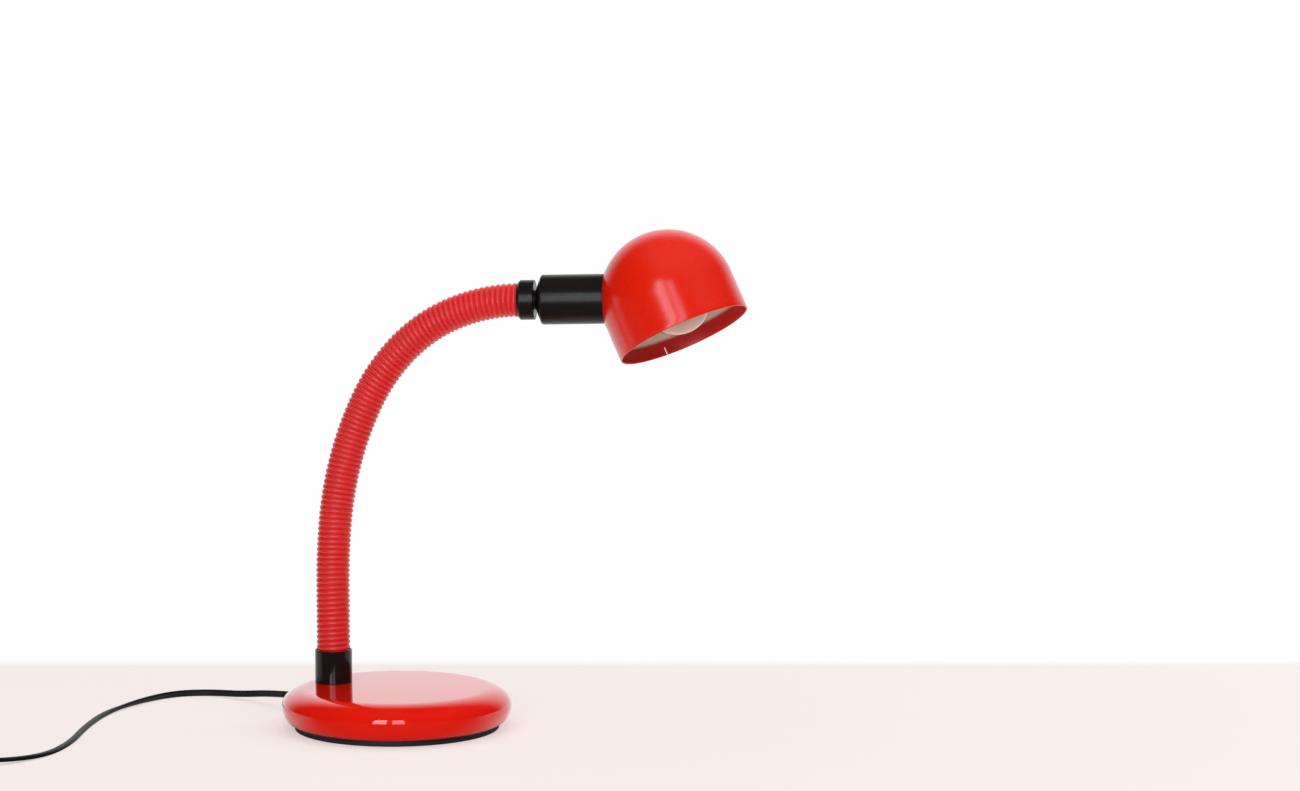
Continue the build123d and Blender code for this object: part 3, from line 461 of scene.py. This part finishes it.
# ---- Under the base --------------------------------------------------------------
# A black rubber ring for a foot, the black-lacquered bottom plate with its screws, and inside the
# cast weight with the terminal block, clamp and leads of the wiring bay.
black_lacquer = finish("black_lacquer", (0.02, 0.02, 0.02), 0.75, 0.012, 0.35, 0.5, 0.0009, 0.00003)
zinc = finish("zinc_plate", (0.62, 0.62, 0.60), 0.85, 0.01, 0.28, 0.45, 0.0006, 0.00002, 1.0)
grey_iron = finish("grey_cast_iron", (0.07, 0.068, 0.066), 0.7, 0.012, 0.6, 0.8, 0.0012, 0.0002, 0.6)
white_mould = finish("white_moulding", (0.82, 0.80, 0.74), 0.93, 0.01, 0.3, 0.45, 0.0006, 0.00003)
lead_cover = finish("grey_lead_sheath", (0.66, 0.65, 0.62), 0.9, 0.01, 0.4, 0.5, 0.0006, 0.00003)
dress(rubber, "foot_ring")
dress(black_lacquer, "bottom_plate")
dress(zinc, "bottom_screws", "lower_stud", "lower_washer", "lower_nut", "wiring_screws")
dress(grey_iron, "base_weight")
dress(white_mould, "terminal_block")
dress(moulded, "cord_clamp")
dress(lead_cover, "base_lead")

# ---- Lower ferrule ---------------------------------------------------------------
# Turned black plastic socket that the neck stands in, clamped to the base from below.
ferrule_low, ferrule_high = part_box("lower_ferrule")
ferrule_radius = (ferrule_high.x - ferrule_low.x) / 2
neck_foot = (ferrule_low + ferrule_high) / 2
neck_foot.z = ferrule_low.z
ferrule_height = ferrule_high.z - ferrule_low.z
socket_wall = 0.0013
socket_floor = 0.005
stud_hole = 0.0051
ferrule_outline = [
    (stud_hole, 0),
    (ferrule_radius, 0),
    (ferrule_radius, ferrule_height),
    (ferrule_radius - socket_wall, ferrule_height),
    (ferrule_radius - socket_wall, socket_floor),
    (stud_hole, socket_floor),
]
ferrule = turned("neck_socket", ferrule_outline, 96, Matrix.Translation(neck_foot), bevel=0.0004)
gloss_black = (0.011, 0.0065, 0.0065)
black_gloss = finish("black_gloss", gloss_black, 0.8, 0.03, 0.10, 0.14, 0.001, 0.0000005, ior=1.36)
ferrule.data.materials.append(black_gloss)
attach(ferrule, "base")
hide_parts("lower_ferrule")

# ---- Neck sleeve -----------------------------------------------------------------
# Red PVC hose with rounded ribs, pushed over the steel core. It is cut in valleys near the
# middle of each link, and each length bends over the joint that it covers.
joint_places = [Vector(joint["pos_m"]) for joint in frame["joints"][:7]]
neck_start = neck_foot + Vector((0, 0, ferrule_height))
neck_arcs = []
tangent = Vector((0, 0, 1))
for begin, end in zip([neck_start] + joint_places, joint_places):
    chord = end - begin
    half_turn = tangent.angle(chord)
    after = (2 * tangent.dot(chord) / chord.length_squared) * chord - tangent
    length = chord.length if half_turn < 1e-4 else chord.length * half_turn / sin(half_turn)
    neck_arcs.append((begin, tangent.copy(), after, length))
    tangent = after
bend_axis = Vector(frame["joints"][1]["axis"])
sleeve_length = sum(arc[3] for arc in neck_arcs)


def neck_point(along):
    """Place and direction on the neck's centre line, measured from the ferrule's mouth."""
    if along <= 0:
        return neck_start + along * Vector((0, 0, 1)), Vector((0, 0, 1))
    for begin, start, after, length in neck_arcs:
        if along <= length:
            break
        along -= length
    else:
        return joint_places[-1] + along * after, after
    turn = start.angle(after)
    if turn < 1e-4:
        return begin + along * start, start
    part = turn * along / length
    sideways = bend_axis.cross(start)
    reach = length / turn
    place = begin + reach * sin(part) * start + reach * (1 - cos(part)) * sideways
    return place, cos(part) * start + sin(part) * sideways


rib_count = 87
rib_pitch = sleeve_length / rib_count
rib_steps = 12
crest_radius = 0.0132
valley_radius = 0.0119
bore_radius = 0.0108
ribs_in_ferrule = 5
ribs_in_collar = 2
links = len(neck_arcs)


def rib_outline(first, last):
    """Radius and height along a stretch of ribs, counted from the ferrule's mouth."""
    points = []
    for step in range((last - first) * rib_steps + 1):
        share = step / rib_steps
        swell = abs(sin(pi * share))
        points.append((valley_radius + (crest_radius - valley_radius) * swell, (first + share) * rib_pitch))
    return points


hose_red = (0.74, 0.018, 0.018)
red_pvc = finish("red_pvc_hose", hose_red, 0.94, 0.03, 0.34, 0.38, 0.002, 0.000001, ior=1.6)
cuts = [round(rib_count * (link + 0.5) / links) for link in range(1, links - 1)]
cuts = [-ribs_in_ferrule] + cuts + [rib_count + ribs_in_collar]
for number, (first, last) in enumerate(zip(cuts, cuts[1:])):
    ribs = rib_outline(first, last)
    rings = (last - first) * 2
    bore = [(bore_radius, (last - (last - first) * step / rings) * rib_pitch) for step in range(rings + 1)]
    hose = turned("neck_hose_%d" % (number + 1), ribs + bore, 56)
    for vertex in hose.data.vertices:
        place, ahead = neck_point(vertex.co.z)
        outwards = ahead.cross(bend_axis)
        vertex.co = place + vertex.co.x * outwards + vertex.co.y * bend_axis
    hose.data.set_sharp_from_angle(angle=radians(60))
    hose.data.materials.append(red_pvc)
    covered = "base" if number == 0 else "neck_%d" % (number + 1)
    neck_point(rib_pitch * rib_count * (number + 0.5) / links)[0]
    neck_point(rib_pitch * rib_count * (number + 1.5) / links)[0]
    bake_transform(hose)
    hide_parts("neck_sleeve_%d" % (number + 1))
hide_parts("neck_sleeve_%d" % links)

# ---- Inside the neck -------------------------------------------------------------
# The wound steel core that holds the neck's bend, and the lead to the lampholder.
core_steel = finish("wound_steel", (0.42, 0.42, 0.41), 0.8, 0.01, 0.35, 0.5, 0.0006, 0.00003, 1.0)
dress(core_steel, *("neck_core_%d" % link for link in range(1, links + 1)))
dress(lead_cover, *("neck_lead_%d" % link for link in range(1, links + 1)))

# ---- Upper ferrule and swivel ----------------------------------------------------
# A short black collar closes the neck's end. A hollow stud, spacer, spring washer and nut let the
# lampholder turn on it.
swivel = next(joint for joint in frame["joints"] if joint["name"] == "head_swivel")
head_axis = Vector(swivel["axis"])
level_side = -bend_axis
head_place = Matrix.Translation(swivel["pos_m"]) @ Matrix((
    level_side, head_axis.cross(level_side), head_axis,
)).transposed().to_4x4()
collar_radius = 0.0155
collar_length = 0.0133
collar_socket = 0.009
collar_bore = 0.0133
lead_in = 0.0022
back_chamfer = 0.0003
collar_outline = [
    (stud_hole, collar_socket),
    (collar_bore, collar_socket),
    (collar_bore, 0),
    (collar_radius - lead_in, 0),
    (collar_radius, lead_in),
    (collar_radius, collar_length - back_chamfer),
    (collar_radius - back_chamfer, collar_length),
    (stud_hole, collar_length),
]
collar = turned("neck_collar", collar_outline, 96, head_place, bevel=0.00025)
satin_black = (0.012, 0.0085, 0.008)
black_satin = finish("black_satin", satin_black, 0.8, 0.03, 0.23, 0.27, 0.001, 0.000001, ior=1.28)
collar.data.materials.append(black_satin)
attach(collar, "neck_7")
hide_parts("upper_ferrule")
dress(moulded, "swivel_spacer")
dress(zinc, "upper_stud", "friction_washer", "swivel_nut")

# ---- Lampholder ------------------------------------------------------------------
# Black moulded can with a coned back, open in front, where it seats against the dome.
holder_start = 0.014
holder_cone = 0.0048
holder_rounding = 0.002
holder_radius = 0.0194
holder_front = 0.0678
holder_wall = 0.0016
holder_back = 0.0074
seat_rise = 0.0004
rounding_steps = 6
cone_lean = atan2(holder_radius - holder_back, holder_cone)
rounding_end = holder_start + holder_cone + holder_rounding * tan(cone_lean / 2)
rounding = [
    (holder_radius - holder_rounding * (1 - cos(turn)), rounding_end - holder_rounding * sin(turn))
    for turn in (cone_lean * step / rounding_steps for step in range(rounding_steps, -1, -1))
]
holder_outline = [(stud_hole, holder_start), (holder_back, holder_start)] + rounding + [
    (holder_radius, holder_front),
    (holder_radius - holder_wall, holder_front + seat_rise),
    (holder_radius - holder_wall, holder_start + holder_cone + holder_wall),
    (stud_hole, holder_start + 2 * holder_wall),
]
holder = turned("lampholder_can", holder_outline, 112, head_place, bevel=0.0003)
holder.data.materials.append(black_satin)
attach(holder, "head")
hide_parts("lampholder")

# ---- Socket ----------------------------------------------------------------------
# White moulded lamp socket with a brass screw shell and contact, and the ring that clamps the shade.
dress(white_mould, "lamp_socket")
dress(moulded, "shade_ring")
dress(pin_brass, "socket_contact", "socket_screw_shell")

# ---- Shade -----------------------------------------------------------------------
# Spun aluminium dome with a straight skirt, red enamel outside and white inside, with the red
# carried a little way in past the rim. A saw slit in the rim is where the shade was held.
shade_radius = 0.0532
shade_wall = 0.0012
shade_skirt = 0.032
shade_twist = radians(15)
shade_tilt = radians(23.3)
dome_middle = holder_front + sqrt(shade_radius ** 2 - holder_radius ** 2)
opening_side = head_axis.cross(level_side) * cos(shade_twist) + level_side * sin(shade_twist)
opening = opening_side * cos(shade_tilt) + head_axis * sin(shade_tilt)
rim_ahead = head_axis * cos(shade_tilt) - opening_side * sin(shade_tilt)
dome_centre = Vector(swivel["pos_m"]) + head_axis * dome_middle
shade_place = Matrix.Translation(dome_centre) @ Matrix((
    rim_ahead, (-opening).cross(rim_ahead), -opening,
)).transposed().to_4x4()
inside = shade_radius - shade_wall
rim_round = shade_wall / 2
skirt_steps = 8
skirt_heights = [-(shade_skirt - rim_round) * step / skirt_steps for step in range(1, skirt_steps)]
rim = [
    (inside + rim_round * (1 + cos(a)), rim_round * (1 + sin(a)) - shade_skirt)
    for a in (radians(-30 * step) for step in range(7))
]
dome_out = quarter((0, 0), shade_radius, shade_radius, 0, 40)[::-1]
dome_in = quarter((0, 0), inside, inside, 0, 40)
shade_outline = dome_out + [(shade_radius, z) for z in skirt_heights] + rim
shade_outline += [(inside, z) for z in skirt_heights[::-1]] + dome_in
shade = turned("dome_shade", shade_outline, 160, closed=False)


def cutter(name, low, high, place, round_steps=0):
    """A box, or a rod if it has steps, that cuts a piece."""
    bm = bmesh.new()
    size = Vector(high) - Vector(low)
    middle = Matrix.Translation((Vector(high) + Vector(low)) / 2)
    if round_steps:
        bmesh.ops.create_cone(
            bm, cap_ends=True, segments=round_steps, radius1=0.5, radius2=0.5, depth=1,
            matrix=place @ middle @ Matrix.Diagonal((*size, 1)),
        )
    else:
        bmesh.ops.create_cube(bm, size=1, matrix=place @ middle @ Matrix.Diagonal((*size, 1)))
    mesh = bpy.data.meshes.new(name)
    bm.to_mesh(mesh)
    bm.free()
    tool = bpy.data.objects.new(name, mesh)
    scene.collection.objects.link(tool)
    return tool


def cut(piece, tool):
    """Takes the tool's shape out of the piece for good."""
    piece.modifiers.new("cut", "BOOLEAN").object = tool
    piece.modifiers["cut"].operation = "DIFFERENCE"
    piece.modifiers["cut"].solver = "EXACT"
    bpy.context.view_layer.update()
    made = bpy.data.meshes.new_from_object(piece.evaluated_get(bpy.context.evaluated_depsgraph_get()))
    piece.modifiers.clear()
    piece.data = made
    bpy.data.objects.remove(tool)


shade.data.transform(shade_place)
socket_neck = 0.016
slot_width = 0.0008
slot_length = 0.0065
slot_turn = Matrix.Rotation(radians(112), 4, "Z")
hole_reach = 0.01
cut_past = 0.002
socket_hole = cutter(
    "socket_hole", (-socket_neck, -socket_neck, holder_front - hole_reach),
    (socket_neck, socket_neck, dome_middle), head_place, 64,
)
cut(shade, socket_hole)
rim_slot = cutter(
    "rim_slot", (inside - cut_past, -slot_width / 2, -shade_skirt - cut_past / 2),
    (shade_radius + cut_past, slot_width / 2, slot_length - shade_skirt), shade_place @ slot_turn,
)
cut(shade, rim_slot)

white_lacquer = finish("white_lacquer", (0.86, 0.72, 0.60), 0.96, 0.02, 0.3, 0.45, 0.0015, 0.00003)
nodes = white_lacquer.node_tree.nodes
lines = white_lacquer.node_tree.links
lacquer = nodes["Principled BSDF"]
spot = nodes.new("ShaderNodeTexCoord")
from_rim = nodes.new("ShaderNodeVectorMath")
from_rim.operation = "DOT_PRODUCT"
from_rim.inputs[1].default_value = opening
rim_height = opening.dot(dome_centre) + shade_skirt
spray = nodes.new("ShaderNodeTexNoise")
spray.inputs["Scale"].default_value = 700
spray_line = nodes.new("ShaderNodeMath")
spray_line.operation = "MULTIPLY_ADD"
spray_line.inputs[1].default_value = 0.0016
band = nodes.new("ShaderNodeMapRange")
band.interpolation_type = "SMOOTHSTEP"
band.inputs["From Min"].default_value = rim_height - 0.0135
band.inputs["From Max"].default_value = rim_height - 0.0095
overspray = nodes.new("ShaderNodeMix")
overspray.data_type = "RGBA"
overspray.inputs[7].default_value = (0.52, 0.008, 0.004, 1)
white_tint = lacquer.inputs["Base Color"].links[0].from_socket
lines.new(spot.outputs["Object"], from_rim.inputs[0])
lines.new(spot.outputs["Object"], spray.inputs["Vector"])
lines.new(spray.outputs["Fac"], spray_line.inputs[0])
lines.new(from_rim.outputs["Value"], spray_line.inputs[2])
lines.new(spray_line.outputs["Value"], band.inputs["Value"])
lines.new(band.outputs["Result"], overspray.inputs[0])
lines.new(white_tint, overspray.inputs[6])
lines.new(overspray.outputs[2], lacquer.inputs["Base Color"])
spun_enamel = enamel("spun_shade_enamel", (0.76, 0.012, 0.001), (0.26, 0.30), 0.65)
spun_enamel.node_tree.nodes["Principled BSDF"].inputs["Coat Roughness"].default_value = 0.20
shade.data.materials.append(spun_enamel)
shade.data.materials.append(white_lacquer)
halfway = shade_radius - shade_wall * 0.75
for face in shade.data.polygons:
    offset = face.center - dome_centre
    depth = offset.dot(opening)
    reach = (offset - depth * opening).length if depth > 0 else offset.length
    face.material_index = 1 if reach < halfway else 0
    face.use_smooth = True
shade.data.set_sharp_from_angle(angle=radians(40))
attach(shade, "head")
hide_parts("shade")

# ---- Bulb ------------------------------------------------------------------------
# Opal glass globe on a narrow neck, in a screw cap. Its white glass is coloured a dark warm tan: painted
# shade for the shadow and red bounce inside the dome.
bulb_radius = 0.029
bulb_middle = dome_middle + 0.0055
bulb_neck = 0.0126
bulb_length = 0.0991
glass_above_contact = 0.0204
shoulder = radians(42)
waist = (bulb_radius * cos(shoulder) - bulb_neck) / (1 - cos(shoulder))
waist_end = bulb_middle - (bulb_radius + waist) * sin(shoulder)
glass_end = bulb_middle + bulb_radius - bulb_length + glass_above_contact
globe = [
    (bulb_radius * cos(a), bulb_middle + bulb_radius * sin(a))
    for a in (pi / 2 - (pi / 2 + shoulder) * step / 40 for step in range(41))
]
throat = [
    (bulb_neck + waist + waist * cos(a), waist_end + waist * sin(a))
    for a in (pi - shoulder + shoulder * step / 16 for step in range(1, 17))
]
bulb_outline = globe + throat + [(bulb_neck, glass_end), (0, glass_end)]
bulb = turned("bulb_globe", bulb_outline, 112, head_place, closed=False)
# Dark warm tan base colour on white opal glass: painted shade and red bounce from the dome, not the glass's
# own colour.
shade_darkened_opal = finish("opal_glass_painted_shade", (0.54, 0.32, 0.24), 0.98, 0.02, 0.06, 0.10, ior=1.8)
milk = shade_darkened_opal.node_tree.nodes["Principled BSDF"]
milk.inputs["Subsurface Weight"].default_value = 0.25
milk.inputs["Subsurface Radius"].default_value = (0.004, 0.004, 0.004)
milk.inputs["Subsurface Scale"].default_value = 1.0
bulb.data.materials.append(shade_darkened_opal)
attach(bulb, "head")
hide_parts("bulb_glass")
cap_metal = finish("cap_aluminium", (0.68, 0.68, 0.68), 0.85, 0.006, 0.25, 0.4, 0.0004, 0.00002, 1.0)
dress(cap_metal, "bulb_cap", "bulb_base_contact")
